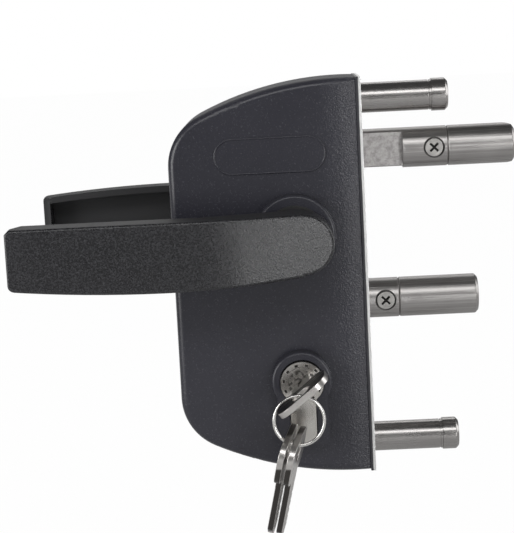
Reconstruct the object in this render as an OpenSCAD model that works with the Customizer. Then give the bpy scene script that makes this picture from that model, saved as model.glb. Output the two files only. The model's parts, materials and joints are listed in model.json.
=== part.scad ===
// Gate lock box: a surface lock that sits behind a 40 mm gate tube.
// +X points out of the face plate, the way the bolts travel. +Y points to the far side, +Z up.
// The origin is the centre of the face plate's outer face. Sizes are in millimetres.

/* [Face plate] */
// Height of the face plate
plate_h = 157; // [154:1:170]
// Thickness of the face plate
plate_t = 2; // [1.5:0.25:3]
// Gap around a bolt in its hole in the face plate
bolt_gap = 0.3; // [0.1:0.05:0.6]

/* [Case] */
// Depth of the case, from the face plate's outer face to the back
case_d = 76.5; // [76:0.5:90]
// Thickness of the case over both covers, also the width of the face plate
case_t = 38; // [38:1:50]
// Wall thickness of the covers
cover_wall = 3; // [2:0.25:3.5]
// Radius of the long arcs along the top and the bottom
crown_r = 130; // [115:1:180]
// Distance of the highest point of these arcs behind the face plate
crown_back = 8; // [4:1:14]
// Radius of the two corners at the back
corner_r = 22; // [16:1:24]
// Radius of the outer edge of a cover
edge_r = 3; // [1.5:0.25:4]
// Height of the collars on the covers
collar_h = 6; // [4:0.5:7]
// Length of the plain panel on the front cover
panel_l = 44; // [30:1:46]
// Height of this panel
panel_h = 14.5; // [8:0.5:16]
// Height of this panel's rim above the cover
panel_high = 0.5; // [0.3:0.1:0.8]

/* [Handles and follower] */
// Distance of the handle and cylinder axes behind the face plate
backset = 28; // [27:0.5:31]
// Height of the handle axis
hub_z = 18.4; // [17:0.2:19]
// Distance from the handle axis to the tip of the handle
handle_l = 109; // [90:1:130]
// Distance of the handle's outer face from the middle of the case
handle_out = 51.5; // [50:0.5:62]
// Height of the handle's straight edge above its axis
handle_top = 10.8; // [10:0.2:12]
// Depth of the handle's curved edge below its axis
handle_low = 15.8; // [14:0.2:17]
// Radius of the round end of the handle
handle_end_r = 11.6; // [11:0.1:12]
// Depth of the handle's side walls
handle_deep = 13; // [11:0.5:15]
// Wall thickness of the handle
handle_wall = 2.6; // [2:0.2:3.4]
// Side of the square spindle
spindle_w = 8; // [7:0.5:9]
// Angle from the handle at rest to the handle pressed down
handle_swing = 38; // [25:1:38]

/* [Bolts] */
// Radius of the latch bolt and of the dead bolt
bolt_r = 8; // [7:0.25:8.5]
// Height of the latch bolt
latch_z = 48.8; // [47:0.2:50]
// Distance that the latch bolt stands out of the face plate
latch_out = 60.5; // [52:0.5:70]
// Length of the adjustable latch tip
latch_tip_l = 26.4; // [20:0.2:28]
// Length of the latch's flat neck in front of the face plate
neck_l = 16.2; // [10:0.2:18]
// Thickness of the neck between its flats
neck_t = 9; // [7.5:0.5:11]
// Height of the dead bolt
dead_z = -11.6; // [-12.4:0.2:-11]
// Distance that the drawn-back dead bolt stands out of the face plate
dead_out = 44.5; // [38:0.5:54]
// Length of the adjustable dead bolt tip
dead_tip_l = 31.8; // [24:0.2:32]
// Distance that the key throws the dead bolt
dead_throw = 12.5; // [10:0.5:14]
// Distance of a lock screw from the seam of its tip
lock_back = 5.6; // [5:0.2:7]

/* [Fixing bolts] */
// Distance between the two fixing bolts
fix_pitch = 138.6; // [137:0.2:140]
// Radius of the fixing studs
stud_r = 6; // [5.5:0.1:6.3]
// Distance that the fixing bolts stand out of the face plate
fix_out = 35; // [30:0.5:60]
// Length of the end caps
cap_l = 6.6; // [5:0.2:9]

/* [Cylinder and keys] */
// Height of the cylinder axis
cyl_z = -39.6; // [-40.4:0.2:-39]
// Length of the cylinder
cyl_l = 54; // [52:1:60]
// Angle from the upright keyway to the key as it stands
key_angle = 51.5; // [40:0.5:52]
// Width of a key bow
bow_w = 23.5; // [20:0.5:23.5]
// Length of a key bow
bow_l = 18; // [16:0.5:19]
// Thickness of a key
key_t = 2.4; // [2:0.1:2.8]
// Length of a key from the bow to its tip
shank_l = 30; // [27:0.5:32]
// Radius of the hole in a key bow
bow_hole_r = 4.2; // [4:0.1:4.6]
// Radius of the key ring, to the middle of its wire
ring_r = 9.6; // [9.6:0.2:14]
// Radius of the ring's wire
ring_wire_r = 0.65; // [0.5:0.05:0.65]

/* [Hidden] */
$fn = 64;
eps = 0.01;
half_t = case_t / 2;

// gaps between pieces
run_gap = 0.05;
slip_gap = 0.1;
play = 0.3;

// outline of the case
crown_z = plate_h / 2 - crown_r;
corner_x = -case_d + corner_r;
corner_reach = sqrt(pow(crown_r - corner_r, 2) - pow(corner_x + crown_back, 2));
corner_z = crown_z + corner_reach;
corner_a = atan2(corner_reach, corner_x + crown_back);

// chassis, two plates with the mechanism between them
chassis_in = 9;
chassis_t = 2;
chassis_out = chassis_in + chassis_t;
chassis_inset = cover_wall + 1.5;
post_r = 3.5;
rivet_r = 2;
coil_r = 9;
coil_wire_r = 0.7;
back_post_up = [18, 18];
back_post_low = [20, 5];
leaf_post = [13.2, 15];
post_at = [
    [-case_d + back_post_up.x, hub_z + back_post_up.y],
    [-case_d + back_post_low.x, cyl_z - back_post_low.y],
    [-10, hub_z + coil_r + coil_wire_r + post_r + slip_gap],
    [-7, cyl_z - 3],
    [-case_d + leaf_post.x, hub_z - leaf_post.y]
];

// front of the covers
panel_x = -36.5;
collar_edge = 1.2;
soft_edge_w = 7;
soft_edge_r = 32;

// screws of the covers, each in a boss
boss_r = 4.2;
boss_hole_r = 1.6;
cover_screw_r = boss_hole_r - run_gap;
cover_head_r = 3.6;
cover_head_l = 2.1;
boss_x = -case_d + cover_wall + boss_r - 0.6;
boss_at = [[boss_x, 10], [boss_x, -12], [-45, 65], [-45, -65]];

// handle hub
hub_neck_r = 9;
hub_bush_r = 12;
hub_collar_r = 16;
hub_shoulder_r = 12;
collar_y = half_t + collar_h;
hub_end_y = half_t - cover_wall;
hub_x = -backset;
handle_slant = 5;
handle_end_x = 3.2;
handle_end_z = -1;
handle_arch_x = -50;
handle_arch_r = 540;
set_screw_r = 2.5;
set_screw_l = 6;
set_screw_hole = [20, 18];
set_screw_y = -collar_y - 4.5;
spindle_end = handle_out - 13.5;

// follower and its arm
journal_r = 8;
hub_drum_r = 7.4;
hub_disc_r = 11;
arm_t = 6;
arm_back = 2;
arm_w = 9;
arm_base = latch_z - hub_z;
latch_travel = arm_base * handle_swing * PI / 180;
nose_r = sqrt(arm_base * arm_base + latch_travel * latch_travel);

// latch bolt
latch_seam = latch_out - latch_tip_l;
shank_r = 4;
tip_shank_l = 12;
seam_cut = 0.4;
tail_w = 15;
tail_low = 6.2;
tail_high = 6;
lug_l = 8;
lug_x = hub_x - lug_l;
window_l = 14;
pin_r = 2.5;
latch_pin_x = hub_x - lug_l / 2;
bevel_y = -4;

// lock screws of the tips
lock_head_r = 3.5;
lock_pit_r = 4.2;
lock_pit_y = 1.9;
lock_head_l = 1.7;
lock_thread_r = 2;
lock_cross_w = 0.9;
lock_cross_l = 4.4;

// latch spring
stop_t = 2;
stop_h = 5;
stop_up = max(latch_z + stop_h - corner_z, 0);
stop_x = corner_x - sqrt(pow(corner_r - chassis_inset, 2) - stop_up * stop_up);
spring_r = 4.4;
spring_wire_r = 0.6;
spring_turns = 7;
spring_x0 = stop_x + stop_t + spring_wire_r;
spring_x1 = lug_x - spring_wire_r - slip_gap;

// dead bolt
dead_seam = dead_out - dead_tip_l;
tail_gap = 1.5;
dead_tail_x1 = -plate_t - dead_throw - tail_gap;
dead_tail_h = 6;
notch_x = hub_x - dead_throw / 2;
notch_w = 4.1;
notch_flare = 2;
notch_tall = 4;
leg_w = 5;
leg_z = cyl_z + 10;
dead_tail_x0 = notch_x - notch_w - notch_flare - leg_w;
dead_pin_x = dead_tail_x0 + leg_w;

// cylinder
cyl_r = 8.5;
cyl_web = 5;
cyl_drop = 24.5;
plug_r = 6.5;
cam_r = 15;
cam_w = 7;
cam_ring_r = 8;
dead_angle = asin(dead_throw / 2 / cam_r);
cam_gap = 5.2;
cam_y = cam_gap - play;
cyl_half = cyl_l / 2;
cyl_screw_z = cyl_z - 19;
cyl_screw_r = 2.5;
cyl_head_r = 3.2;
cyl_head_l = 0.8;
pin_n = 5;
pin_pitch = 3.7;
pin_rad = 1.4;

// fixing bolts
fix_gap = 0.2;
cap_r = stud_r + 0.5;
stud_end = fix_out - cap_l;
stud_seat_r = stud_r - fix_gap;
stud_thread_r = 3;
stud_spigot_r = 4;
stud_spigot_l = cap_l - 2;
nut_w = 17;
nut_h = 10;
nut_t = 5;

// keys
key_neck_w = 9;
blade_w = 8;
hole_back = bow_hole_r + 2.3;
key_y = -cam_gap - 1.3 - shank_l - bow_l + hole_back;
ring_top = [-1.86, -0.07];
ring_x = hub_x + ring_top.x;
ring_z = cyl_z + ring_top.y;
wire_slant = 0.85;
key_hang = bow_hole_r - ring_wire_r - wire_slant - play;
spare_at = 18;
spare_tilt = 16;
spare_x = ring_x - ring_r * sin(spare_at);
spare_z = ring_z - ring_r - ring_r * cos(spare_at);
spare_yaw = 10;
spare_lean = 22;
spare_gap = 1.2;
spare_off = (key_t + spare_gap) / 2;

coat = [0.2, 0.2, 0.23];
black = [0.12, 0.12, 0.12];
steel = [0.66, 0.65, 0.63];
zinc = [0.55, 0.56, 0.58];
brass = [0.7, 0.6, 0.35];
nylon = [0.85, 0.84, 0.8];

// Name of the node to draw

// shared forms

// rod along X at height z
module x_rod(x0, x1, z, r) {
    translate([x0, 0, z])
        rotate([0, 90, 0])
            cylinder(r = r, h = x1 - x0);
}

// cone along X at height z
module x_cone(x0, x1, z, r0, r1) {
    translate([x0, 0, z])
        rotate([0, 90, 0])
            cylinder(r1 = r0, r2 = r1, h = x1 - x0);
}

// rod along Y
module y_rod(x, z, y0, y1, r) {
    translate([x, y0, z])
        rotate([-90, 0, 0])
            cylinder(r = r, h = y1 - y0);
}

// block between two corners
module block(a, b) {
    translate(a)
        cube(b - a);
}

// children drawn in the plane of the case, with their height towards the front
module to_front() {
    rotate([90, 0, 0])
        children();
}

// prism along Y, of children drawn in the plane of the case
module y_prism(y0, y1) {
    translate([0, y1, 0])
        rotate([90, 0, 0])
            linear_extrude(y1 - y0)
                children();
}

// the same on the far side
module to_rear() {
    mirror([0, 1, 0])
        children();
}

// round tube along a path, with its flat sides set by the axis that the path winds around
module tube(path, r, axis, sides = 8) {
    n = len(path);
    points = [
        for (i = [0 : n - 1])
            let (
                d = path[min(i + 1, n - 1)] - path[max(i - 1, 0)],
                t = d / norm(d),
                c = cross(t, axis),
                u = c / norm(c),
                v = cross(t, u)
            )
            for (k = [0 : sides - 1])
                path[i] + r * (cos(360 * k / sides) * u + sin(360 * k / sides) * v)
    ];
    walls = [
        for (i = [0 : n - 2])
            for (k = [0 : sides - 1])
                let (a = i * sides + k, b = i * sides + (k + 1) % sides)
                each [[a, a + sides, b + sides], [a, b + sides, b]]
    ];
    first = [for (k = [0 : sides - 1]) k];
    last = [for (k = [sides - 1 : -1 : 0]) (n - 1) * sides + k];
    polyhedron(points, concat(walls, [first], [last]), convexity = 6);
}

// case

// upper half of the part of the outline that lies in front of the back corner
module crown_region(right) {
    far = crown_r;
    polygon([
        [corner_x, 0],
        [right, 0],
        [right, far],
        [corner_x + far * cos(corner_a), corner_z + far * sin(corner_a)],
        [corner_x, corner_z]
    ]);
}

// upper half of the region of the back corner
module corner_region() {
    far = 2 * corner_r;
    polygon([
        [corner_x, corner_z],
        [corner_x + far * cos(corner_a), corner_z + far * sin(corner_a)],
        [corner_x - far, corner_z + far],
        [corner_x - far, corner_z]
    ]);
}

module half_outline(inset, right) {
    intersection() {
        translate([-crown_back, crown_z])
            circle(crown_r - inset, $fn = 180);
        crown_region(right);
    }
    intersection() {
        translate([corner_x, corner_z])
            circle(corner_r - inset);
        corner_region();
    }
    translate([-case_d + inset, 0])
        square([corner_r - inset, corner_z]);
}

// outline of the case, drawn in by inset, open to the right as far as right
module case_outline(inset, right) {
    half_outline(inset, right);
    mirror([0, 1])
        half_outline(inset, right);
}

// section of a disc with an outer edge of radius e
module disc_section(r, h, e) {
    square([r - e, h]);
    translate([r - e - eps, 0])
        square([e + eps, h - e]);
    translate([r - e, h - e])
        intersection() {
            circle(e);
            translate([-eps, -eps])
                square(e + 1);
        }
}

module half_case() {
    intersection() {
        translate([-crown_back, crown_z, 0])
            rotate_extrude($fn = 180)
                disc_section(crown_r, half_t, edge_r);
        linear_extrude(half_t)
            crown_region(-plate_t);
    }
    intersection() {
        translate([corner_x, corner_z, 0])
            rotate_extrude()
                disc_section(corner_r, half_t, edge_r);
        linear_extrude(half_t)
            corner_region();
    }
    translate([corner_x, corner_z, 0])
        rotate([90, 0, 0])
            linear_extrude(corner_z)
                mirror([1, 0])
                    disc_section(corner_r, half_t, edge_r);
}

// outline of a profile cylinder around its axis
module cyl_profile(gap) {
    circle(cyl_r + gap);
    translate([-cyl_web - gap, -cyl_drop + cyl_web])
        square([2 * (cyl_web + gap), cyl_drop - cyl_web]);
    translate([0, -cyl_drop + cyl_web])
        circle(cyl_web + gap);
}

// what the soft edge along the face plate takes off a cover
module soft_edge() {
    translate([-plate_t - soft_edge_w, 0, 0])
        rotate([90, 0, 0])
            linear_extrude(2 * plate_h, center = true)
                difference() {
                    translate([0, half_t - soft_edge_w / 2])
                        square([soft_edge_w + 1, soft_edge_w]);
                    translate([0, half_t - soft_edge_r])
                        circle(soft_edge_r, $fn = 180);
                }
}

// half of the case as a shell with its collars, its bosses and its openings
module cover_shell() {
    inner = half_t - cover_wall;
    difference() {
        union() {
            half_case();
            mirror([0, 1, 0])
                half_case();
            translate([hub_x, hub_z, inner])
                rotate_extrude()
                    disc_section(hub_collar_r, cover_wall + collar_h, collar_edge);
            translate([hub_x, cyl_z, inner])
                rotate_extrude()
                    disc_section(cyl_r + 3.5, cover_wall + collar_h, collar_edge);
            translate([hub_x - cyl_web - 5, cyl_z - cyl_drop - 1, inner])
                cube([2 * cyl_web + 10, cyl_drop + 1, cover_wall + collar_h]);
        }
        difference() {
            translate([0, 0, -eps])
                linear_extrude(inner + eps)
                    case_outline(cover_wall, 1);
            for (p = boss_at)
                translate([p.x, p.y, -1])
                    cylinder(r = boss_r, h = inner + 2);
        }
        translate([hub_x, hub_z, 0])
            cylinder(r = hub_bush_r + run_gap, h = half_t + collar_h + 1);
        translate([hub_x, cyl_z, 0])
            linear_extrude(half_t + collar_h + 1)
                cyl_profile(0.4);
        soft_edge();
    }
}

module front_cover() {
    color(coat)
        to_front()
            difference() {
                cover_shell();
                for (p = boss_at)
                    translate([p.x, p.y, -1])
                        cylinder(r = boss_hole_r, h = half_t - cover_wall);
            }
}

// outline of the plain panel, drawn in by inset
module panel_outline(inset) {
    run = panel_l - panel_h;
    square([run, panel_h - 2 * inset], center = true);
    for (s = [-1, 1])
        translate([s * run / 2, 0])
            circle(panel_h / 2 - inset);
}

module front_panel() {
    rim = 0.9;
    color(coat)
        to_front()
            translate([panel_x, latch_z + 1, half_t])
                difference() {
                    linear_extrude(panel_high)
                        panel_outline(0);
                    translate([0, 0, panel_high / 2])
                        linear_extrude(panel_high)
                            panel_outline(rim);
                }
}

module rear_cover() {
    color(coat)
        to_rear()
            to_front()
                difference() {
                    cover_shell();
                    for (p = boss_at)
                        translate([p.x, p.y, -1])
                            cylinder(r = boss_hole_r + slip_gap, h = half_t + 2);
                    for (p = boss_at)
                        translate([p.x, p.y, half_t - cover_head_l - slip_gap])
                            cylinder(r = cover_head_r + play, h = cover_head_l + 1);
                }
}

module cover_screws() {
    color(zinc)
        to_rear()
            to_front()
                for (p = boss_at)
                    translate([p.x, p.y, 0])
                        difference() {
                            union() {
                                translate([0, 0, -12])
                                    cylinder(r = cover_screw_r, h = 12 + half_t - 1);
                                translate([0, 0, half_t - cover_head_l])
                                    cylinder(r = cover_head_r, h = cover_head_l - 0.2);
                            }
                            translate([0, 0, half_t - 1.6])
                                cylinder(r = 1.5, h = 2, $fn = 6);
                        }
}

module face_plate() {
    color(steel)
        difference() {
            block([-plate_t, -half_t, -plate_h / 2], [0, half_t, plate_h / 2]);
            for (s = [-1, 1])
                x_rod(-plate_t - 1, 1, s * fix_pitch / 2, stud_r + fix_gap);
            for (z = [latch_z, dead_z])
                x_rod(-plate_t - 1, 1, z, bolt_r + bolt_gap);
            x_rod(-plate_t - 1, 1, cyl_screw_z, cyl_screw_r + slip_gap);
            x_rod(-cyl_head_l - slip_gap, 1, cyl_screw_z, cyl_head_r + slip_gap);
        }
}

module chassis() {
    difference() {
        y_prism(-chassis_out, -chassis_in)
            case_outline(chassis_inset, -plate_t);
        y_rod(hub_x, hub_z, -chassis_out - 1, 0, journal_r + run_gap);
        translate([hub_x, 0, cyl_z])
            y_prism(-chassis_out - 1, 0)
                cyl_profile(0.4);
        pin_slot(latch_pin_x - latch_travel, latch_pin_x, latch_z);
        pin_slot(dead_pin_x, dead_pin_x + dead_throw, dead_z);
        for (p = boss_at)
            y_rod(p.x, p.y, -chassis_out - 1, 0, boss_r + 1);
        for (p = post_at)
            y_rod(p.x, p.y, -chassis_out - 1, 0, rivet_r + run_gap);
    }
}

// slot in a chassis plate, in which the guide pin of a bolt slides
module pin_slot(x0, x1, z) {
    for (x = [x0, x1])
        y_rod(x, z, -chassis_out - 1, 0, pin_r + slip_gap);
    r = pin_r + slip_gap;
    block([x0, -chassis_out - 1, z - r], [x1, 0, z + r]);
}

module chassis_front() {
    color(zinc)
        chassis();
}

module chassis_rear() {
    color(zinc)
        to_rear()
            chassis();
}

module chassis_posts() {
    color(zinc)
        for (p = post_at) {
            y_rod(p.x, p.y, -chassis_in, chassis_in, post_r);
            y_rod(p.x, p.y, -chassis_out, chassis_out, rivet_r);
        }
}

// fixing bolts

// stud with a seat in the face plate, a thread behind the plate and a spigot for its cap at the other end
module fixing_studs() {
    color(steel)
        for (s = [-1, 1])
            difference() {
                union() {
                    x_rod(-plate_t - nut_t - 1, -plate_t + eps, s * fix_pitch / 2, stud_thread_r);
                    x_rod(-plate_t, eps, s * fix_pitch / 2, stud_seat_r);
                    x_rod(0, stud_end, s * fix_pitch / 2, stud_r);
                    x_rod(stud_end - eps, stud_end + stud_spigot_l, s * fix_pitch / 2, stud_spigot_r);
                }
                x_groove(stud_end - 1.2, s * fix_pitch / 2);
            }
}

// fine groove around a stud
module x_groove(x, z) {
    difference() {
        x_rod(x, x + 0.4, z, stud_r + 1);
        x_rod(x - 1, x + 1, z, stud_r - 0.3);
    }
}

// flat nut that bridges the stud's hole behind the face plate
module fixing_nuts() {
    color(zinc)
        for (s = [-1, 1])
            difference() {
                block(
                    [-plate_t - nut_t, -nut_w / 2, s * fix_pitch / 2 - nut_h / 2],
                    [-plate_t, nut_w / 2, s * fix_pitch / 2 + nut_h / 2]
                );
                x_rod(-plate_t - nut_t - 1, -plate_t + 1, s * fix_pitch / 2, stud_thread_r + run_gap);
            }
}

module cap_bore(z) {
    x_rod(stud_end - 1, stud_end + stud_spigot_l + slip_gap, z, stud_spigot_r + run_gap);
}

module fixing_caps() {
    bevel = 1.2;
    color(steel)
        for (s = [-1, 1])
            difference() {
                union() {
                    x_rod(stud_end, fix_out - bevel, s * fix_pitch / 2, cap_r);
                    x_cone(fix_out - bevel, fix_out, s * fix_pitch / 2, cap_r, cap_r - bevel);
                }
                cap_bore(s * fix_pitch / 2);
            }
}

// handle set

module hub_bush() {
    difference() {
        y_rod(hub_x, hub_z, -collar_y, -hub_end_y, hub_bush_r);
        y_rod(hub_x, hub_z, -collar_y - 1, 0, hub_neck_r + run_gap);
    }
}

module hub_bush_front() {
    color(nylon)
        hub_bush();
}

module hub_bush_rear() {
    color(nylon)
        to_rear()
            hub_bush();
}

// square bore for the spindle along Y
module spindle_bore(y0, y1) {
    h = spindle_w / 2 + slip_gap;
    block([hub_x - h, y0, hub_z - h], [hub_x + h, y1, hub_z + h]);
}

// contact face of the follower's arm: an involute, so the latch moves evenly with the handle
function nose_point(a) = arm_base * [
    sin(a) - a * PI / 180 * cos(a),
    a * PI / 180 * sin(a) + cos(a)
];

module follower() {
    reach = chassis_in - play;
    nose = [for (a = [0 : handle_swing / 6 : handle_swing + eps]) nose_point(a)];
    color(steel)
        difference() {
            union() {
                y_rod(hub_x, hub_z, -chassis_out, chassis_out, hub_drum_r);
                y_rod(hub_x, hub_z, chassis_in - 1, chassis_out, journal_r);
                y_rod(hub_x, hub_z, -chassis_out, -chassis_in + 1, journal_r);
                y_rod(hub_x, hub_z, -arm_t / 2, arm_t / 2, hub_disc_r);
                y_rod(hub_x, hub_z, -reach, -arm_t / 2, hub_disc_r - 1);
                translate([hub_x, 0, hub_z])
                    y_prism(-arm_t / 2, arm_t / 2)
                        polygon(concat(
                            [[arm_w, 0], [arm_back, 0], [arm_back, arm_base - 3], [0, arm_base - 1]],
                            nose,
                            [[arm_w - 2, nose_r - 1], [arm_w, arm_base - 2]]
                        ));
            }
            spindle_bore(-chassis_out - 1, chassis_out + 1);
        }
}

module spindle() {
    h = spindle_w / 2;
    y = spindle_end;
    color(steel)
        block([hub_x - h, -y, hub_z - h], [hub_x + h, y, hub_z + h]);
}

// bends of the handle seen from above: distance from the axis, and step back from the outer face
bend_a = [-36, 0];
bend_b = [-20, 1.5];
bend_c = [-6, 4.5];

// handle seen from above
module handle_plan() {
    end = handle_end_x + handle_end_r;
    out = -handle_out;
    rim = -handle_out + handle_deep;
    polygon([
        [-handle_l, out],
        [bend_a.x, out + bend_a.y],
        [bend_b.x, out + bend_b.y],
        [bend_c.x, out + bend_c.y],
        [end, out + 9],
        [end, rim + 8],
        [bend_c.x, rim + 7],
        [bend_b.x, rim + 3.5],
        [bend_a.x, rim],
        [-handle_l + handle_slant, rim]
    ]);
}

// handle seen from the front, drawn in by inset, with a straight upper and an arched lower edge
module handle_side(inset) {
    tip = -handle_l + inset;
    h = handle_top - inset;
    r = handle_end_r - inset;
    low = handle_arch_r - handle_low;
    cut = 2;
    intersection() {
        polygon([
            [handle_end_x, h],
            [tip + cut, h],
            [tip, h - cut],
            [tip, -handle_low],
            [handle_end_x, -handle_low]
        ]);
        translate([handle_arch_x, low])
            circle(handle_arch_r - inset, $fn = 360);
    }
    intersection() {
        translate([handle_end_x, handle_end_z])
            circle(r);
        translate([handle_end_x, -2 * r])
            square([r + 1, 4 * r]);
    }
}

// hollow of the handle on the side of the gate
module handle_hollow() {
    out = -handle_out + handle_wall;
    tip = -handle_l + handle_wall + 2.5;
    intersection() {
        translate([0, 0, -2 * handle_low])
            linear_extrude(4 * handle_low)
                polygon([
                    [tip, out],
                    [bend_a.x, out + bend_a.y],
                    [bend_b.x, out + bend_b.y],
                    [bend_c.x, out + bend_c.y],
                    [bend_c.x, 0],
                    [tip, 0]
                ]);
        y_prism(-handle_out, 1)
            handle_side(handle_wall);
    }
}

module handle() {
    shoulder_y = collar_y + 0.6;
    difference() {
        union() {
            translate([hub_x, 0, hub_z])
                difference() {
                    intersection() {
                        translate([0, 0, -2 * handle_low])
                            linear_extrude(4 * handle_low)
                                handle_plan();
                        y_prism(-handle_out - 1, 0)
                            handle_side(0);
                    }
                    difference() {
                        handle_hollow();
                        y_rod(0, 0, -handle_out, 0, hub_shoulder_r);
                    }
                }
            y_rod(hub_x, hub_z, -handle_out + 14, -shoulder_y, hub_shoulder_r - 1.2);
            y_rod(hub_x, hub_z, -shoulder_y - eps, -hub_end_y + 1, hub_neck_r);
        }
        spindle_bore(-spindle_end - slip_gap, 0);
        translate([hub_x, set_screw_y, hub_z - set_screw_hole.x])
            cylinder(r = set_screw_r + run_gap, h = set_screw_hole.y);
    }
}

// the same piece turned half round the handle axis, for the far side
module turned_over() {
    translate([0, 0, hub_z])
        rotate([180, 0, 0])
            translate([0, 0, -hub_z])
                children();
}

module front_handle() {
    color(black)
        handle();
}

module rear_handle() {
    color(black)
        turned_over()
            handle();
}

module set_screw() {
    top = hub_z - spindle_w / 2 - slip_gap;
    difference() {
        translate([hub_x, set_screw_y, top - set_screw_l])
            cylinder(r = set_screw_r, h = set_screw_l);
        translate([hub_x, set_screw_y, top - set_screw_l - 1])
            cylinder(r = 1.4, h = set_screw_l / 2 + 1, $fn = 6);
    }
}

module handle_set_screws() {
    color(zinc) {
        set_screw();
        turned_over()
            set_screw();
    }
}

// return spring around the follower's drum, one leg on the arm and one under a post
module hub_spring() {
    turns = 1.75;
    steps = 20;
    y0 = arm_t / 2 + coil_wire_r + 0.4;
    rise = 2 * coil_wire_r + 0.5;
    arm_x = hub_x + arm_w + coil_wire_r + slip_gap;
    coil = [
        for (i = [0 : turns * steps])
            let (a = -360 * i / steps)
            [hub_x + coil_r * cos(a), y0 + rise * i / steps, hub_z + coil_r * sin(a)]
    ];
    leg_arm = [[arm_x, 0, hub_z + 18], [arm_x, 1.5, hub_z + 13], [arm_x, y0, hub_z + 5]];
    leg_post = [[post_at[2].x + 3, y0 + rise * turns, hub_z + coil_r]];
    color(steel)
        tube(concat(leg_arm, coil, leg_post), coil_wire_r, [0, 1, 0], 6);
    echo(str("gap between the turns of the hub spring: ", rise - 2 * coil_wire_r));
}

// latch

// lock screw along Y, its head in the front of a bolt
module lock_screw(x, z) {
    top = -bolt_r + lock_pit_y - lock_head_l;
    difference() {
        union() {
            y_rod(x, z, top, top + lock_head_l, lock_head_r);
            y_rod(x, z, top + lock_head_l - eps, -shank_r - slip_gap, lock_thread_r);
        }
        for (a = [45, -45])
            translate([x, top - eps, z])
                rotate([0, a, 0])
                    translate([-lock_cross_l / 2, 0, -lock_cross_w / 2])
                        cube([lock_cross_l, 1, lock_cross_w]);
    }
}

// pit and thread hole for a lock screw
module lock_hole(x, z) {
    y_rod(x, z, -bolt_r - 1, -bolt_r + lock_pit_y, lock_pit_r);
    y_rod(x, z, -bolt_r, 0, lock_thread_r + run_gap);
}

// round end of a bolt body, with the bore that takes its tip
module bolt_base(x0, seam, z) {
    difference() {
        union() {
            x_rod(x0, seam - seam_cut, z, bolt_r);
            x_cone(seam - seam_cut, seam, z, bolt_r, bolt_r - seam_cut);
        }
        x_rod(seam - tip_shank_l - 1, seam + 1, z, shank_r + slip_gap);
        lock_hole(seam - lock_back, z);
    }
}

// adjustable tip of a bolt, with its shank
module bolt_tip(seam, x1, z, bevel) {
    x_rod(seam - tip_shank_l, seam + 1, z, shank_r);
    x_cone(seam, seam + seam_cut, z, bolt_r - seam_cut, bolt_r);
    x_rod(seam + seam_cut, x1 - bevel, z, bolt_r);
    x_cone(x1 - bevel, x1, z, bolt_r, bolt_r - bevel);
}

module latch_bolt() {
    tail_x1 = -plate_t - 1;
    half_w = tail_w / 2;
    window = arm_t / 2 + 0.5;
    color(steel) {
        difference() {
            union() {
                bolt_base(neck_l, latch_seam, latch_z);
                intersection() {
                    x_rod(tail_x1, neck_l, latch_z, bolt_r);
                    block(
                        [tail_x1, -neck_t / 2, latch_z - bolt_r + 1],
                        [neck_l, neck_t / 2, latch_z + bolt_r]
                    );
                }
                block([lug_x, -half_w, latch_z - tail_low], [tail_x1, half_w, latch_z + tail_high]);
            }
            block(
                [hub_x, -window, latch_z - bolt_r - 1],
                [hub_x + window_l, window, latch_z + bolt_r + 1]
            );
            block([hub_x - 20, -window, latch_z - bolt_r - 1], [hub_x + 1, window, latch_z - 2]);
            y_rod(latch_pin_x, latch_z, -half_w - 1, half_w + 1, pin_r + run_gap);
        }
    }
}

module latch_tip() {
    color(steel)
        difference() {
            bolt_tip(latch_seam, latch_out, latch_z, 1);
            translate([latch_out, bevel_y, latch_z - bolt_r - 1])
                rotate([0, 0, 45])
                    cube([20, 20, 2 * bolt_r + 2]);
        }
}

module latch_lock_screw() {
    color(zinc)
        lock_screw(latch_seam - lock_back, latch_z);
}

module latch_guide_pin() {
    color(zinc)
        y_rod(latch_pin_x, latch_z, -chassis_out, chassis_out, pin_r);
}

module spring_stop() {
    color(zinc) {
        block([stop_x, -chassis_in, latch_z - stop_h], [stop_x + stop_t, chassis_in, latch_z + stop_h]);
        x_rod(stop_x + stop_t - eps, stop_x + stop_t + 8, latch_z, 3);
    }
}

module latch_spring() {
    steps = 16;
    span = spring_x1 - spring_x0;
    path = [
        for (i = [0 : spring_turns * steps])
            let (a = 360 * i / steps)
            [
                spring_x0 + span * i / (spring_turns * steps),
                spring_r * cos(a),
                latch_z + spring_r * sin(a)
            ]
    ];
    color(steel)
        tube(path, spring_wire_r, [1, 0, 0], 6);
    echo(str("gap between the turns of the latch spring: ", span / spring_turns - 2 * spring_wire_r));
}

// dead bolt

module dead_bolt() {
    half_h = dead_tail_h;
    tail_y = 6;
    leg_y = 4;
    open = notch_w + notch_flare;
    color(steel) {
        bolt_base(dead_tail_x1, dead_seam, dead_z);
        difference() {
            union() {
                block(
                    [dead_tail_x0, -tail_y, dead_z - half_h],
                    [dead_tail_x1 + eps, tail_y, dead_z + half_h]
                );
                block(
                    [dead_tail_x0, -leg_y, leg_z],
                    [notch_x + open + leg_w, leg_y, dead_z - half_h + eps]
                );
            }
            y_prism(-leg_y - 1, leg_y + 1)
                polygon([
                    [notch_x - open, leg_z - eps],
                    [notch_x - notch_w, leg_z + notch_tall],
                    [notch_x - notch_w, dead_z - half_h],
                    [notch_x + notch_w, dead_z - half_h],
                    [notch_x + notch_w, leg_z + notch_tall],
                    [notch_x + open, leg_z - eps]
                ]);
            y_rod(dead_pin_x, dead_z, -tail_y - 1, tail_y + 1, pin_r + run_gap);
        }
    }
}

module dead_tip() {
    color(steel)
        bolt_tip(dead_seam, dead_out, dead_z, 1.2);
}

module dead_lock_screw() {
    color(zinc)
        lock_screw(dead_seam - lock_back, dead_z);
}

module dead_guide_pin() {
    color(zinc)
        y_rod(dead_pin_x, dead_z, -chassis_out, chassis_out, pin_r);
}

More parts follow.
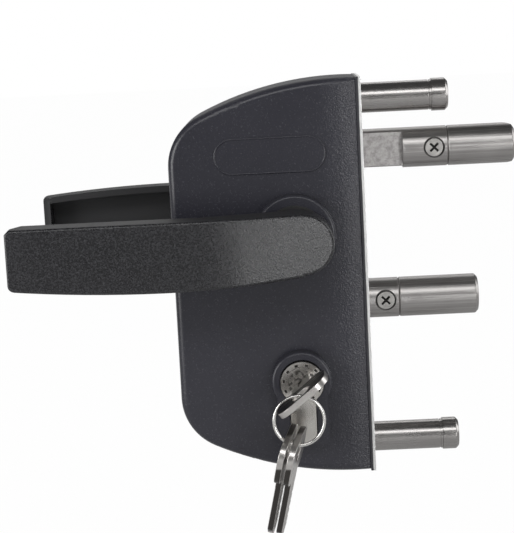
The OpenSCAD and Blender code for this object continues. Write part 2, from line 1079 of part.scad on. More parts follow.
// leaf spring that rides on the dead bolt's tail, wound around a post
module leaf_spring() {
    t = 0.8;
    post = post_at[4];
    low = post.y - post_r - run_gap;
    top = dead_z + dead_tail_h + slip_gap;
    color(steel)
        difference() {
            union() {
                y_rod(post.x, post.y, -4, 4, post_r + run_gap + t);
                y_prism(-4, 4)
                    polygon([
                        [post.x, low],
                        [notch_x + 2, top + t],
                        [notch_x + 6, top + 2 + t],
                        [notch_x + 6, top + 2],
                        [notch_x + 2, top],
                        [post.x, low - t]
                    ]);
            }
            y_rod(post.x, post.y, -5, 5, post_r + run_gap);
        }
}

// cylinder

module cylinder_body() {
    color(zinc)
        difference() {
            translate([hub_x, 0, cyl_z])
                y_prism(-cyl_half, cyl_half)
                    cyl_profile(0);
            y_rod(hub_x, cyl_z, -cyl_half - 1, cyl_half + 1, plug_r + run_gap);
            block(
                [hub_x - 12, -cam_gap, cyl_z - cam_r - 0.5],
                [hub_x + 12, cam_gap, cyl_z + 12]
            );
            x_rod(hub_x - 8, hub_x + 8, cyl_screw_z, cyl_screw_r + slip_gap);
            for (s = [-1, 1])
                for (i = [0 : pin_n - 1])
                    translate([hub_x, s * pin_place(i), cyl_z - cyl_drop + 4])
                        cylinder(r = pin_rad + slip_gap, h = cyl_drop - 4);
        }
}

// place of a pin along Y
function pin_place(i) = cam_gap + 2.6 + i * pin_pitch;

module driver_pins() {
    color(brass)
        for (s = [-1, 1])
            for (i = [0 : pin_n - 1])
                translate([hub_x, s * pin_place(i), cyl_z - cyl_drop + 4 + slip_gap])
                    cylinder(r = pin_rad, h = cyl_drop - 4 - plug_r - 2 * slip_gap - 0.2);
}

// plug with its keyway upright
module plug() {
    difference() {
        y_rod(0, 0, -cyl_half - 0.4, -cam_gap, plug_r);
        block(
            [-key_t / 2 - slip_gap, -cyl_half - 1, -blade_w / 2 - slip_gap],
            [key_t / 2 + slip_gap, -cam_gap - 1, blade_w / 2 + slip_gap]
        );
        for (i = [0 : pin_n - 1])
            translate([0, -pin_place(i), -plug_r - 1])
                cylinder(r = pin_rad + slip_gap, h = plug_r + 1 - blade_w / 2);
    }
}

module plug_rear() {
    color(brass)
        translate([hub_x, 0, cyl_z])
            to_rear()
                plug();
}

module turned() {
    translate([hub_x, 0, cyl_z])
        rotate([0, key_angle, 0])
            children();
}

module plug_front() {
    color(zinc)
        turned()
            plug();
}

module key_pins() {
    color(brass)
        turned()
            for (i = [0 : pin_n - 1])
                translate([0, -pin_place(i), -plug_r + 0.2])
                    cylinder(r = pin_rad, h = plug_r - 0.2 - blade_w / 2 - slip_gap);
}

module cam() {
    w = cam_w / 2;
    color(zinc)
        translate([hub_x, 0, cyl_z])
            rotate([0, -dead_angle, 0])
                difference() {
                    union() {
                        y_rod(0, 0, -cam_y, cam_y, cam_ring_r);
                        intersection() {
                            block([-w, -cam_y, 0], [w, cam_y, cam_r + 1]);
                            y_rod(0, 0, -cam_y - 1, cam_y + 1, cam_r);
                        }
                    }
                    y_rod(0, 0, -cam_y - 1, cam_y + 1, 4);
                }
}

module cylinder_screw() {
    color(zinc)
        difference() {
            union() {
                x_rod(hub_x - 6, -cyl_head_l, cyl_screw_z, cyl_screw_r);
                x_rod(-cyl_head_l, 0, cyl_screw_z, cyl_head_r);
            }
            block([-0.6, -5, cyl_screw_z - 0.5], [1, 5, cyl_screw_z + 0.5]);
        }
}

// keys

// key with its tip down and its flat sides facing along X, the middle of its hole at the origin
module key_form() {
    top = hole_back;
    low = hole_back - bow_l;
    r = 6;
    w = bow_w / 2;
    n = key_neck_w / 2;
    b = blade_w / 2;
    tip = low - shank_l;
    groove = 0.5;
    difference() {
        translate([-key_t / 2, 0, 0])
            rotate([90, 0, 90])
                linear_extrude(key_t)
                    difference() {
                        union() {
                            translate([-w + r, low])
                                square([2 * (w - r), bow_l]);
                            translate([-w, low + r])
                                square([2 * w, bow_l - 2 * r]);
                            for (s = [-1, 1])
                                for (y = [low + r, top - r])
                                    translate([s * (w - r), y])
                                        circle(r);
                            translate([-n, low - 5])
                                square([2 * n, 6]);
                            polygon([
                                [-b, low - 4],
                                [-b, tip + 4],
                                [-b + 3, tip],
                                [b - 3, tip],
                                [b, tip + 3],
                                [b, low - 4]
                            ]);
                        }
                        circle(bow_hole_r);
                        for (i = [0 : pin_n - 1])
                            translate([b, tip + 4.5 + i * pin_pitch])
                                polygon([[1, 1.6], [-0.8 - 0.5 * (i % 3), 0], [1, -1.6]]);
                    }
        for (s = [-1, 1])
            translate([s * key_t / 2 - groove, -1.2, tip + 3])
                cube([2 * groove, 1.7, shank_l - 4]);
    }
}

module key() {
    color(zinc)
        turned()
            translate([0, key_y, 0])
                rotate([90, 0, 0])
                    key_form();
}

module key_ring() {
    color(zinc)
        translate([ring_x, key_y, ring_z - ring_r])
            rotate([90, 0, 0])
                rotate_extrude()
                    translate([ring_r, 0])
                        circle(ring_wire_r, $fn = 24);
}

// spare key on the ring, shifted along the wire by off
module spare_key(off) {
    translate([spare_x, key_y, spare_z])
        rotate([0, spare_tilt, 0])
            rotate([0, 0, -spare_yaw])
                rotate([spare_lean, 0, 0])
                    translate([off, 0, -key_hang])
                        key_form();
}

module spare_key_left() {
    color(zinc)
        spare_key(-spare_off);
}

module spare_key_right() {
    color(zinc)
        spare_key(spare_off);
}

face_plate();
front_cover();
front_panel();
rear_cover();
cover_screws();
chassis_front();
chassis_rear();
chassis_posts();
fixing_studs();
fixing_nuts();
fixing_caps();
hub_bush_front();
hub_bush_rear();
cylinder_body();
driver_pins();
plug_rear();
cylinder_screw();
spring_stop();
latch_spring();
hub_spring();
leaf_spring();
follower();
spindle();
front_handle();
rear_handle();
handle_set_screws();
latch_bolt();
latch_tip();
latch_lock_screw();
latch_guide_pin();
dead_bolt();
dead_tip();
dead_lock_screw();
dead_guide_pin();
plug_front();
key_pins();
cam();
key();
key_ring();
spare_key_left();
spare_key_right();
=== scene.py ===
import json
import math

import bmesh
import bpy
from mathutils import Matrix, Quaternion, Vector

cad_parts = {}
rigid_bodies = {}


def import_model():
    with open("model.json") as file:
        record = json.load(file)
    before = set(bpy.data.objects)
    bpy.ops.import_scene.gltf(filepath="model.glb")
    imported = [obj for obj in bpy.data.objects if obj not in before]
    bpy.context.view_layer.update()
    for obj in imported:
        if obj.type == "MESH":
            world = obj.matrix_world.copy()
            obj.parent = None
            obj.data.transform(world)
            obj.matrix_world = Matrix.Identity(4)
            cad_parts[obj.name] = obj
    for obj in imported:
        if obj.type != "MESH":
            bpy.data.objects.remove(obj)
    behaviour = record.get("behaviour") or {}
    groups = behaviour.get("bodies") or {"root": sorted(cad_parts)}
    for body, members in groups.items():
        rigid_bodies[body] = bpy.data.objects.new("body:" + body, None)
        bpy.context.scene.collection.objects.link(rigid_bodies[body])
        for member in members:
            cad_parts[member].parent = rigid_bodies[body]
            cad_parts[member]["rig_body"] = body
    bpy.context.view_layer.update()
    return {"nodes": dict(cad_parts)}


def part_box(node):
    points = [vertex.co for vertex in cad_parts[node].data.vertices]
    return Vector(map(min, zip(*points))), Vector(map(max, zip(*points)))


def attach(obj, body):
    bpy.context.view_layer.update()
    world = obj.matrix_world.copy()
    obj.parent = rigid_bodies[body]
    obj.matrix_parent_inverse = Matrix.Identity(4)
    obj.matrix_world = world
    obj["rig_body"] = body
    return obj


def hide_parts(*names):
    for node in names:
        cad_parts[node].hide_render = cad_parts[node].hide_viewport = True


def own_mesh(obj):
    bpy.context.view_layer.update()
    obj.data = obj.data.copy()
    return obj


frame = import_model()


# Works inside the case: chassis plates, posts, follower, spindle, pins and springs, riveted or
# screwed together before the covers close. Pressed and turned steel in dull zinc plating, springs
# of plain wire, and the cylinder's pins and cam of brass.
class Shade:
    """A socket in a node tree. Sums and products of it become Math nodes there."""

    def __init__(self, tree, socket=None):
        self.tree = tree
        self.socket = socket

    def put(self, socket, value):
        """Links a Shade to a socket, or sets the socket to a constant."""
        if isinstance(value, Shade):
            self.tree.links.new(value.socket, socket)
        else:
            socket.default_value = value

    def node(self, kind, settings=None, values=None, output=0):
        """A new node with its settings and inputs, as the Shade of one of its outputs."""
        made = self.tree.nodes.new("ShaderNode" + kind)
        for name, value in (settings or {}).items():
            setattr(made, name, value)
        for name, value in (values or {}).items():
            self.put(made.inputs[name], value)
        return Shade(self.tree, made.outputs[output])

    def math(self, operation, *values):
        return self.node("Math", {"operation": operation}, dict(enumerate(values)))

    def __add__(self, other):
        return self.math("ADD", self, other)

    def __radd__(self, other):
        return self.math("ADD", other, self)

    def __sub__(self, other):
        return self.math("SUBTRACT", self, other)

    def __rsub__(self, other):
        return self.math("SUBTRACT", other, self)

    def __mul__(self, other):
        return self.math("MULTIPLY", self, other)

    def __rmul__(self, other):
        return self.math("MULTIPLY", other, self)

    def __abs__(self):
        return self.math("ABSOLUTE", self)

    def clear(self, low, high):
        """0 below low, 1 above high, smooth between."""
        return self.node("MapRange", {"interpolation_type": "SMOOTHSTEP"},
                         {"Value": self, "From Min": low, "From Max": high})


def new_finish(name, **constants):
    """A material, its surface sockets and a Shade to build its nodes with."""
    material = bpy.data.materials.new(name)
    material.use_nodes = True
    tree = material.node_tree
    surface = tree.nodes["Principled BSDF"]
    for socket, value in constants.items():
        surface.inputs[socket.replace("_", " ")].default_value = value
    return material, surface.inputs, Shade(tree)


def place(shade, stretch=(1, 1, 1)):
    """Place on the object in metres, stretched along its axes."""
    where = shade.node("TexCoord", output="Object")
    return shade.node("Mapping", values={"Vector": where, "Scale": stretch})


def noise(shade, scale, detail=2.0, stretch=(1, 1, 1), rough=0.5):
    return shade.node("TexNoise", values={"Vector": place(shade, stretch), "Scale": scale,
                                          "Detail": detail, "Roughness": rough})


def tint(factor, dark, light):
    """Colour between two, by a factor. Each colour is a Shade or three numbers."""
    ends = [end if isinstance(end, Shade) else (*end, 1) for end in (dark, light)]
    return factor.node("Mix", {"data_type": "RGBA"}, {0: factor, 6: ends[0], 7: ends[1]}, output=2)


def bump(height, strength, distance):
    return height.node("Bump", values={"Height": height, "Strength": strength,
                                       "Distance": distance})


def plated(name, dark, light, rough, grain):
    """Plated or bare metal with cloudy tone, fine scratches and a little grain."""
    material, surface, shade = new_finish(name, Metallic=1.0)
    cloud = noise(shade, 120, 3)
    fine = noise(shade, grain, 3)
    shade.put(surface["Base Color"], tint(cloud * 0.6 + fine * 0.4, dark, light))
    shade.put(surface["Roughness"], cloud * 0.12 + fine * 0.1 + (rough - 0.11))
    shade.put(surface["Normal"], bump(fine, 0.25, 0.00004))
    return material


def dress(material, *nodes):
    """Gives CAD nodes this material."""
    for name in nodes:
        mesh = frame["nodes"][name].data
        mesh.materials.clear()
        mesh.materials.append(material)


zinc = plated("zinc_plating", (0.42, 0.43, 0.45), (0.62, 0.63, 0.64), 0.36, 2600)
spring_wire = plated("spring_wire", (0.24, 0.24, 0.25), (0.42, 0.42, 0.43), 0.34, 3200)
brass = plated("brass", (0.62, 0.46, 0.22), (0.78, 0.62, 0.34), 0.3, 2400)
dress(zinc, "chassis_front", "chassis_rear", "chassis_posts", "spring_stop", "follower",
      "spindle", "latch_guide_pin", "dead_guide_pin", "fixing_nuts", "cylinder_screw")
dress(spring_wire, "latch_spring", "hub_spring", "leaf_spring")
dress(brass, "driver_pins", "key_pins", "cam")

# the latch's coil, as a piece of its own with its own mesh
coil = bpy.data.objects.new("latch_coil", frame["nodes"]["latch_spring"].data.copy())
bpy.context.scene.collection.objects.link(coil)
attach(coil, "case")
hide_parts("latch_spring")
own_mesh(coil)


# Face plate: a strip of stainless sheet that closes the case and lies on the gate tube.
# Its face is brushed along its length. The back half of its edge is painted dark as shade in the
# joint against the covers, and the front half is bare and bright.
def stand_for(node, mesh):
    """A piece with this mesh that takes the place of a CAD node."""
    piece = bpy.data.objects.new(node + "_piece", mesh)
    bpy.context.scene.collection.objects.link(piece)
    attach(piece, frame["nodes"][node]["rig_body"])
    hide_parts(node)
    return piece


def soften(node, width=0, steps=2, wide=(), flat=lambda face: False):
    """A CAD node's shape with its sharp edges rounded, as a piece that stands for the node.

    Each pair in wide picks edges and gives their width. The other sharp edges get width, as far
    as they have room, or stay as they are without it. Large faces lead the shading normals, and
    faces that flat picks keep their own.
    """
    weld, sliver = 2e-5, 2e-6
    level, sharp_from = math.radians(0.4), math.radians(32)
    alike = 0.75
    shape = bmesh.new()
    shape.from_mesh(frame["nodes"][node].data)
    bmesh.ops.remove_doubles(shape, verts=shape.verts, dist=weld)
    bmesh.ops.dissolve_limit(shape, angle_limit=level, verts=shape.verts, edges=shape.edges)
    for picked, offset in [*wide, (None, width)] if width else wide:
        sharp = [edge for edge in shape.edges
                 if len(edge.link_faces) == 2 and edge.calc_face_angle() > sharp_from
                 and (picked is None or picked(edge))]
        bmesh.ops.bevel(shape, geom=sharp, offset=offset, segments=steps, profile=0.5,
                        affect="EDGES", clamp_overlap=picked is None)
    bmesh.ops.dissolve_degenerate(shape, edges=shape.edges, dist=sliver)
    shape.normal_update()
    area = {face: face.calc_area() for face in shape.faces}
    corners = []
    for face in shape.faces:
        for vert in face.verts:
            close = [near for near in vert.link_faces
                     if near == face or not flat(face) and near.normal.dot(face.normal) > alike]
            lead = sum((near.normal * area[near] for near in close), Vector((0, 0, 0)))
            corners.append(lead.normalized())
    mesh = bpy.data.meshes.new(node + "_shape")
    shape.to_mesh(mesh)
    shape.free()
    mesh.shade_smooth()
    mesh.normals_split_custom_set(corners)
    return stand_for(node, mesh)


def part_of(vector, axis):
    """One of a vector's three numbers."""
    return vector.node("SeparateXYZ", values={0: vector}, output=axis)


def plate_finish():
    """Stainless sheet brushed along its length, with painted shade of the joint on the back of its
    edge.
    """
    material, surface, shade = new_finish("plate_stainless")
    lines = noise(shade, 1.0, 3, (4000, 5200, 60), 0.65)
    cloud = noise(shade, 90, 2)
    # painted shade: the back of the edge, where the plate meets the covers, is coloured as dark as
    # the coat
    joint_shade = 1 - (part_of(place(shade), "X") + lines * 0.0003).clear(-0.001, -0.0007)
    steel = tint(lines * 0.7 + cloud * 0.3, (0.62, 0.62, 0.615), (0.84, 0.84, 0.83))
    shade.put(surface["Base Color"], tint(joint_shade, steel, (0.022, 0.022, 0.027)))
    shade.put(surface["Metallic"], 1 - joint_shade)
    shade.put(surface["Roughness"], lines * 0.14 + cloud * 0.1 + 0.26)
    shade.put(surface["Normal"], bump(lines, 0.3, 0.00003))
    return material


plate = soften("face_plate", 0.00025)
plate.data.materials.append(plate_finish())


# Fixing bolts: stainless studs through the face plate, held by a flat nut behind it.
# They are drawn bar, with fine lines along their length, and a cap sits on the end of each.
def drawn_bar():
    material, surface, shade = new_finish("drawn_stainless", Metallic=1.0)
    lines = noise(shade, 1.0, 3, (30, 2400, 2400), 0.65)
    cloud = noise(shade, 90, 2)
    shade.put(surface["Base Color"], tint(lines * 0.7 + cloud * 0.3, (0.3, 0.288, 0.28),
                                          (0.45, 0.437, 0.428)))
    shade.put(surface["Roughness"], lines * 0.14 + cloud * 0.1 + 0.15)
    shade.put(surface["Normal"], bump(lines, 0.3, 0.000012))
    return material


bar_steel = drawn_bar()
for node in ("fixing_studs", "fixing_caps"):
    piece = soften(node, 0.0002)
    piece.data.materials.append(bar_steel)


# Latch bolt and dead bolt: stainless bars with a tip that screws in and out to set the reach.
# The latch has a neck with two blasted flats. A cross-head screw in a pit locks each tip.
def side(shade):
    """The way the surface faces on the object."""
    return shade.node("TexCoord", output="Normal")


def bolt_finish():
    """Drawn bar with lines along it, dull blasted flats, and painted shade in the screw pits."""
    material, surface, shade = new_finish("bolt_stainless", Metallic=1.0)
    lines = noise(shade, 1.0, 3, (18, 1900, 1900), 0.6).clear(0.25, 0.75)
    cloud = noise(shade, 110, 3)
    grit = noise(shade, 1500, 2)
    stain = noise(shade, 480, 4, rough=0.7).clear(0.28, 0.68)
    spot = place(shade)
    across = abs(part_of(side(shade), "Y"))
    along = part_of(spot, "X")
    depth = part_of(spot, "Y")
    flat = across.clear(0.985, 0.997) * (1 - along.clear(0.0165, 0.0172))
    pit = across.clear(0.9, 0.98) * (1 - depth.clear(-0.0058, -0.0057))
    beside_screw = along.clear(0.0172, 0.0174) + (1 - along.clear(0.0122, 0.0124))
    # painted shade: a dark ring in each screw pit, round the lock screw
    rim = pit * depth.clear(-0.0066, -0.0064) * beside_screw
    bar = tint(lines * 0.7 + cloud * 0.3, (0.265, 0.253, 0.246), (0.455, 0.442, 0.434))
    blasted = tint(stain * 0.75 + grit * 0.25, (0.27, 0.258, 0.252), (0.52, 0.506, 0.5))
    metal = tint(flat, bar, blasted)
    shade.put(surface["Base Color"], tint(rim * 0.8, metal, (0.06, 0.058, 0.056)))
    shade.put(surface["Roughness"], flat * 0.2 + lines * 0.12 + cloud * 0.1 + 0.23)
    height = lines * (1 - flat) * 0.35 + grit * flat * 1.5
    shade.put(surface["Normal"], bump(height, 0.3, 0.00004))
    return material


def cross_head():
    """Plated screw with painted shade in its cross recess."""
    material, surface, shade = new_finish("cross_head", Metallic=1.0)
    cloud = noise(shade, 400, 3)
    # painted shade: the cross recess is coloured near black
    recess = part_of(place(shade), "Y").clear(-0.0077, -0.0074)
    metal = tint(cloud, (0.34, 0.33, 0.32), (0.52, 0.51, 0.49))
    shade.put(surface["Base Color"], tint(recess, metal, (0.03, 0.029, 0.028)))
    shade.put(surface["Roughness"], cloud * 0.15 + recess * 0.2 + 0.26)
    shade.put(surface["Normal"], bump(cloud, 0.2, 0.00004))
    return material


bolt_steel = bolt_finish()
for node in ("latch_bolt", "latch_tip", "dead_bolt", "dead_tip"):
    piece = soften(node, 0.00025)
    piece.data.materials.append(bolt_steel)
lock_steel = cross_head()
for node in ("latch_lock_screw", "dead_lock_screw"):
    piece = soften(node, 0.00015)
    piece.data.materials.append(lock_steel)


# Covers: two cast shells, powder coated in a fine anthracite. Pale specks on the crests of its
# tight orange peel are painted glints, and near the face plate, where the peel is deeper, they
# are stronger and the colour is painted lighter as a sheen. A plain rimmed panel is cast on the
# front.
def powder_coat():
    material, surface, shade = new_finish("powder_coat", Specular_IOR_Level=0.42)
    peel = noise(shade, 1400, 2, rough=0.6)
    fine = noise(shade, 2600, 2)
    cloud = noise(shade, 35, 3)
    # painted glints: pale specks on the crests of the orange peel
    crest_glint = (peel * 0.6 + fine * 0.4).clear(0.54, 0.74)
    ground = tint(cloud, (0.021, 0.021, 0.0275), (0.0265, 0.0265, 0.034))
    near_plate = part_of(place(shade), "X").clear(-0.02, -0.006)
    # painted sheen: near the face plate the specks are paler and the whole colour lighter
    pale = crest_glint * (near_plate * 0.5 + 0.4) + near_plate * 0.12
    shade.put(surface["Base Color"], tint(pale, ground, (0.075, 0.075, 0.087)))
    upward = part_of(side(shade), "Z").clear(0.6, 0.95)
    shade.put(surface["Roughness"], cloud * 0.06 + crest_glint * 0.1 + upward * 0.3 + 0.22)
    height = (peel * 0.75 + fine * 0.25) * (near_plate * 0.75 + 0.25)
    shade.put(surface["Normal"], bump(height, 0.9, 0.00034))
    return material


def rimmed_panel():
    """The front panel with a rounded rim round its flat floor."""
    near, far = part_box("front_panel")
    end_r = (far[2] - near[2]) / 2
    run = (far[0] - near[0]) / 2 - end_r
    middle = Vector(((near[0] + far[0]) / 2, far[1], (near[2] + far[2]) / 2))
    rim_w = 0.0009
    rim_high = far[1] - near[1]
    rim_arc, rim_step, spokes = 150, 15, 64
    crease = math.radians(40)
    shape = bmesh.new()
    rings = []
    for turn in range(0, rim_arc + 1, rim_step):
        reach = end_r - rim_w / 2 * (1 - math.cos(math.radians(turn)))
        high = rim_high * math.sin(math.radians(turn))
        ring = []
        for spoke in range(spokes):
            angle = math.tau * (spoke + 0.5) / spokes
            shift = math.copysign(run, math.cos(angle))
            spot = Vector((shift + reach * math.cos(angle), -high, reach * math.sin(angle)))
            ring.append(shape.verts.new(middle + spot))
        rings.append(ring)
    for ring, inner in zip(rings, rings[1:]):
        for spoke in range(spokes):
            shape.faces.new((ring[spoke - 1], ring[spoke], inner[spoke], inner[spoke - 1]))
    shape.faces.new(rings[0])
    shape.faces.new(rings[-1])
    bmesh.ops.recalc_face_normals(shape, faces=shape.faces)
    mesh = bpy.data.meshes.new("front_panel_shape")
    shape.to_mesh(mesh)
    shape.free()
    mesh.shade_smooth()
    mesh.set_sharp_from_angle(angle=crease)
    return stand_for("front_panel", mesh)


coat = powder_coat()
dress(coat, "front_cover", "rear_cover")
panel = rimmed_panel()
panel.data.materials.append(coat)
screw_steel = plated("screw_plating", (0.5, 0.49, 0.46), (0.72, 0.71, 0.68), 0.28, 3000)
piece = soften("cover_screws", 0.00015)
piece.data.materials.append(screw_steel)


# Handles: injection-moulded black polymer levers with a spark-eroded grain, hollow towards the
# gate. They turn in nylon bushes and are held on the square spindle by set screws.
def polymer_grain():
    """Black grain with painted glints as pale crests on the outer faces, duller on top and at the
    tip, plain and matt in the hollow.
    """
    material, surface, shade = new_finish("grained_polymer", Specular_IOR_Level=0.5)
    grain = noise(shade, 1500, 2, rough=0.6)
    pits = noise(shade, 2600, 2)
    rub = noise(shade, 28, 4)
    facing = side(shade)
    upward = part_of(facing, "Z").clear(0.85, 0.98)
    tip = (-1 * part_of(facing, "X")).clear(0.5, 0.9)
    outside = (part_of(facing, "Y") * part_of(place(shade), "Y")).clear(-0.02, -0.01)
    # painted glints: the crests of the grain on the outer faces are coloured pale
    crest_glint = (grain * 0.7 + pits * 0.3).clear(0.4, 0.72) * outside
    shade.put(surface["Base Color"], tint(crest_glint * 0.85 + rub * 0.15, (0.006, 0.006, 0.007),
                                          (0.04, 0.04, 0.0445)))
    worn = crest_glint * 0.12 + rub * 0.1 + upward * 0.3 + tip * 0.35
    shade.put(surface["Roughness"], worn - outside * 0.35 + 0.55)
    height = (grain * 0.65 + pits * 0.35) * outside
    shade.put(surface["Normal"], bump(height, 0.9, 0.00016))
    return material


def outward(face):
    """How far out from the gate a face lies, less than 0 if it looks towards the gate."""
    return face.normal.y * face.calc_center_median().y


def on_outer_face(edge):
    outer_face_from = 0.032
    return max(outward(face) for face in edge.link_faces) > outer_face_from


def at_plain_tip(edge):
    """The tip's corner that has no chamfer, across the handle's thickness."""
    tip_from, across, slanted = -0.12, 0.9, 0.6
    run = (edge.verts[1].co - edge.verts[0].co).normalized()
    near = [face.normal for vert in edge.verts for face in vert.link_faces]
    chamfered = any(min(abs(normal.x), abs(normal.z)) > slanted for normal in near)
    at_tip = abs(run.y) > across and edge.verts[0].co.x < tip_from
    return edge.is_convex and at_tip and not chamfered


def faces_gate(face):
    return outward(face) < 0


polymer = polymer_grain()
for node in ("front_handle", "rear_handle"):
    piece = soften(node, steps=4, wide=((at_plain_tip, 0.0022), (on_outer_face, 0.0012)),
                   flat=faces_gate)
    piece.data.materials.append(polymer)


def nylon_finish():
    material, surface, shade = new_finish("nylon", Specular_IOR_Level=0.4)
    grain = noise(shade, 1400, 2)
    shade.put(surface["Base Color"], tint(grain, (0.01, 0.01, 0.01), (0.024, 0.024, 0.024)))
    shade.put(surface["Roughness"], grain * 0.1 + 0.4)
    shade.put(surface["Normal"], bump(grain, 0.2, 0.00005))
    return material


dress(nylon_finish(), "hub_bush_front", "hub_bush_rear")
dress(screw_steel, "handle_set_screws")


# Cylinder: a nickel-plated profile cylinder with a plug at each end, held by one long screw.
# Its round end faces are stamped with a ring of short notches, with painted shade in them and in
# pits.
def cylinder_plating():
    material, surface, shade = new_finish("nickel_plating", Metallic=1.0)
    axis_x, axis_z, notches = -0.028, -0.0396, 11
    spot = place(shade)
    right = part_of(spot, "X") - axis_x
    up = part_of(spot, "Z") - axis_z
    out = shade.math("SQRT", right * right + up * up)
    round_face = abs(part_of(side(shade), "Y")).clear(0.9, 0.98)
    turn = shade.math("ARCTAN2", up, right)
    notch = shade.math("SINE", turn * notches).clear(0.35, 0.7)
    notch = notch * out.clear(0.0066, 0.0069) * (1 - out.clear(0.0076, 0.0078))
    cloud = noise(shade, 160, 3)
    fine = noise(shade, 2200, 3)
    pitted = noise(shade, 620, 2).clear(0.46, 0.58) * (1 - out.clear(0.0052, 0.006))
    # painted shade in the stamped notches and the pits of the round faces
    dark = round_face * shade.math("MAXIMUM", notch, pitted * 0.85)
    metal = tint(cloud * 0.6 + fine * 0.4, (0.4, 0.385, 0.36), (0.66, 0.64, 0.61))
    shade.put(surface["Base Color"], tint(dark, metal, (0.035, 0.033, 0.03)))
    shade.put(surface["Roughness"], cloud * 0.12 + fine * 0.08 + dark * 0.2 + 0.14)
    shade.put(surface["Normal"], bump(fine * 0.3 - dark, 0.3, 0.0002))
    return material


nickel = cylinder_plating()
for node in ("cylinder_body", "plug_front", "plug_rear"):
    piece = soften(node, 0.0002)
    piece.data.materials.append(nickel)


# Keys: stamped nickel-silver blanks with a milled groove and cut teeth, on a ring of bright wire.
# The key in use has a dark reflection painted on its broad bow faces, with fine rolled lines
# left bright, and the spare keys have a dark reflection painted on their milled narrow edges,
# fainter on the bow. Corners keep the bright metal.
def key_finish(name, across, painted_reflection_of):
    """Key metal. painted_reflection_of gives where a dark reflection is painted, from how squarely
    a face looks along across and from its place."""
    material, surface, shade = new_finish(name, Metallic=1.0)
    cloud = noise(shade, 160, 3)
    scratch = noise(shade, 1.0, 2, (500, 3000, 500), 0.7)
    facing = shade.node("VectorMath", {"operation": "DOT_PRODUCT"}, {0: side(shade), 1: across},
                        output="Value")
    # painted dark reflection on the faces that the given function picks
    dark = painted_reflection_of(abs(facing), place(shade))
    metal = tint(cloud * 0.5 + scratch * 0.5, (0.48, 0.46, 0.44), (0.74, 0.72, 0.7))
    shade.put(surface["Base Color"], tint(dark, metal, (0.075, 0.07, 0.066)))
    shade.put(surface["Roughness"], cloud * 0.12 + scratch * 0.08 + 0.2)
    shade.put(surface["Normal"], bump(scratch, 0.06, 0.00003))
    return material


# painted dark reflection on the broad bow faces, except two fine lines
def bow_painted_reflection(facing, spot):
    back = part_of(spot, "Y")
    line = back.clear(-0.0446, -0.0443) - back.clear(-0.044, -0.0437)
    line = line + back.clear(-0.0416, -0.0413) - back.clear(-0.041, -0.0407)
    return facing.clear(0.8, 0.97) * (1 - back.clear(-0.0385, -0.038)) * (1 - line)


# painted dark reflection on the narrow edges of the blade, and fainter on the bow
def blade_painted_reflection(facing, spot):
    low = part_of(spot, "Z")
    blade = (1 - low.clear(-0.066, -0.065)) * low.clear(-0.0972, -0.0965)
    bow = low.clear(-0.055, -0.054) * 0.9
    return (1 - facing.clear(0.12, 0.45)) * blade.math("MAXIMUM", blade, bow)


lean = math.radians(51.5)
key_across = (math.cos(lean), 0, -math.sin(lean))
spare_across = (0.94666, -0.17365, -0.27145)
key_nickel = key_finish("key_nickel", key_across, bow_painted_reflection)
spare_nickel = key_finish("spare_key_nickel", spare_across, blade_painted_reflection)
for node, metal in (("key", key_nickel), ("spare_key_left", spare_nickel),
                    ("spare_key_right", spare_nickel)):
    piece = soften(node, 0.0003, 3)
    piece.data.materials.append(metal)
dress(plated("ring_wire", (0.6, 0.59, 0.57), (0.8, 0.79, 0.77), 0.2, 2500), "key_ring")


# Studio: a pale floor well below the hung lock, a white backdrop of sky, and soft lamps
# in front, at both sides and behind. The camera stands where the photographer's stood.
def light_path(shade):
    """1 for what the camera sees itself, and 1 for what shows in metal or glass."""
    path = shade.node("LightPath").socket.node.outputs
    seen, glossy, through = [Shade(shade.tree, path["Is " + ray + " Ray"])
                             for ray in ("Camera", "Glossy", "Transmission")]
    return seen, shade.math("MAXIMUM", glossy, through)


def studio_floor():
    material, surface, shade = new_finish("studio_floor", Roughness=0.9)
    cloud = noise(shade, 6, 2)
    shade.put(surface["Base Color"], tint(cloud, (0.56, 0.56, 0.56), (0.6, 0.6, 0.6)))
    seen, mirrored = light_path(shade)
    behind = part_of(place(shade), "Y").clear(0.25, 0.9)
    nodes = shade.tree.nodes
    lit = Shade(shade.tree, nodes["Principled BSDF"].outputs[0])
    white = shade.node("Emission", values={"Color": (1, 1, 1, 1), "Strength": 1.0})
    whiter = (seen + mirrored * behind) * 0.985
    mixed = shade.node("MixShader", values={0: whiter, 1: lit, 2: white})
    shade.put(nodes["Material Output"].inputs["Surface"], mixed)
    return material


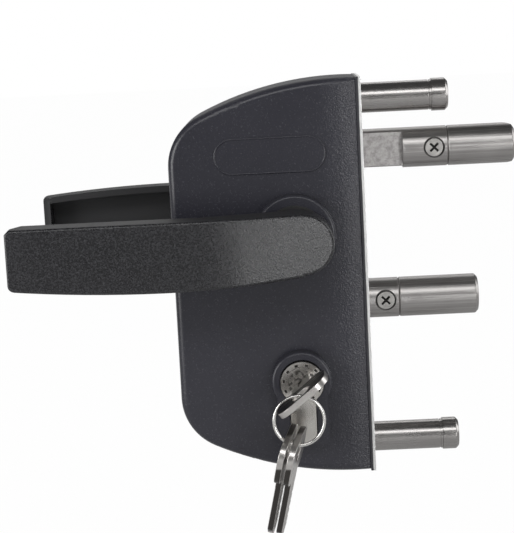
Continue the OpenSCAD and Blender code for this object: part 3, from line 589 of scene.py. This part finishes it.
floor_z, floor_half = -0.17, 6
floor_mesh = bpy.data.meshes.new("floor")
floor_mesh.from_pydata([(x * floor_half, y * floor_half, floor_z)
                        for x, y in ((-1, -1), (1, -1), (1, 1), (-1, 1))], [], [(0, 1, 2, 3)])
floor_mesh.materials.append(studio_floor())
floor = bpy.data.objects.new("floor", floor_mesh)
bpy.context.scene.collection.objects.link(floor)

world = bpy.data.worlds.new("studio")
bpy.context.scene.world = world
world.use_nodes = True
sky = Shade(world.node_tree)
seen, mirrored = light_path(sky)
backdrop = part_of(sky.node("TexCoord", output="Generated"), "Y").clear(0.88, 0.98)
level = seen + mirrored * (backdrop * 0.92 + 0.08) + (1 - seen) * (1 - mirrored) * 0.38
background = world.node_tree.nodes["Background"].inputs
sky.put(background["Strength"], level)
sky.put(background["Color"], (1, 1, 1, 1))


def softbox(name, spot, aim, width, height, power):
    lamp = bpy.data.lights.new(name, "AREA")
    lamp.shape = "RECTANGLE"
    lamp.size = width
    lamp.size_y = height
    lamp.energy = power
    made = bpy.data.objects.new(name, lamp)
    made.location = spot
    made.rotation_euler = (Vector(aim) - Vector(spot)).to_track_quat("-Z", "Y").to_euler()
    bpy.context.scene.collection.objects.link(made)


softbox("front_lamp", (-0.05, -0.95, 0.74), (-0.03, 0, 0), 1.3, 0.3, 5)
softbox("right_lamp", (0.46, -1.0, -0.1), (-0.03, 0, 0), 0.26, 0.7, 5)
softbox("left_lamp", (-1.0, -0.62, 0.1), (-0.05, 0, 0), 0.6, 0.9, 9)
softbox("side_lamp", (1.1, 0.15, 0.35), (0, 0, 0), 0.7, 0.8, 4)
softbox("back_lamp", (-0.1, 1.0, 0.85), (-0.03, 0, 0), 1.1, 0.4, 2.2)

camera = bpy.data.objects.new("camera", bpy.data.cameras.new("camera"))
stand = Vector((-0.02872, -0.64486, 0.10287))
look = Vector((-0.04401, 0, 0.00341))
roll = Quaternion((0, 0, 1), math.radians(-2.94))
camera.location = stand
camera.rotation_euler = ((look - stand).to_track_quat("-Z", "Y") @ roll).to_euler()
camera.data.lens = 108.84
camera.data.sensor_width = 36
bpy.context.scene.collection.objects.link(camera)
bpy.context.scene.camera = camera
bpy.context.scene.view_settings.view_transform = "Standard"
